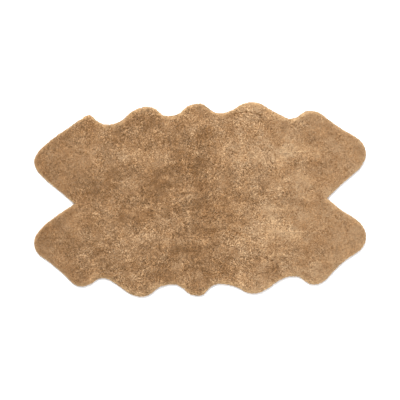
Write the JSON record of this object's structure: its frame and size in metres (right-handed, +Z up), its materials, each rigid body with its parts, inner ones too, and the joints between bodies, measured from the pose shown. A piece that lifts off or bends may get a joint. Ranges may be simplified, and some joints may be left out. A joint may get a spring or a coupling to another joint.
{
  "type": "sheepskin rug",
  "caption": "Sheepskin floor rug of natural pelts sewn edge to edge, with short curly camel-brown wool and scalloped edges, lying flat.",
  "frame": {"origin": "on the floor under the middle of the rug's outline", "axes": "+X along the rug's length and its long seam, +Y across it towards the rear edge, +Z up out of the wool"},
  "size_m": [1.8509, 1.0841, 0.0323],
  "materials": {
    "wool": "shorn curly wool, matt with a soft sheen on the tips",
    "suede": "suede flesh side, matt",
    "thread": "waxed sewing thread",
    "label_tape": "woven satin tape, blank"
  },
  "bodies": {
    "root": {"hide_rear_left": "suede", "hide_rear_right": "suede", "hide_front_left": "suede", "hide_front_right": "suede", "fleece_rear_left": "wool", "fleece_rear_right": "wool", "fleece_front_left": "wool", "fleece_front_right": "wool", "seam_thread_long": "thread", "seam_thread_cross_rear": "thread", "seam_thread_cross_front": "thread", "care_label": "label_tape"}
  },
  "joints": []
}
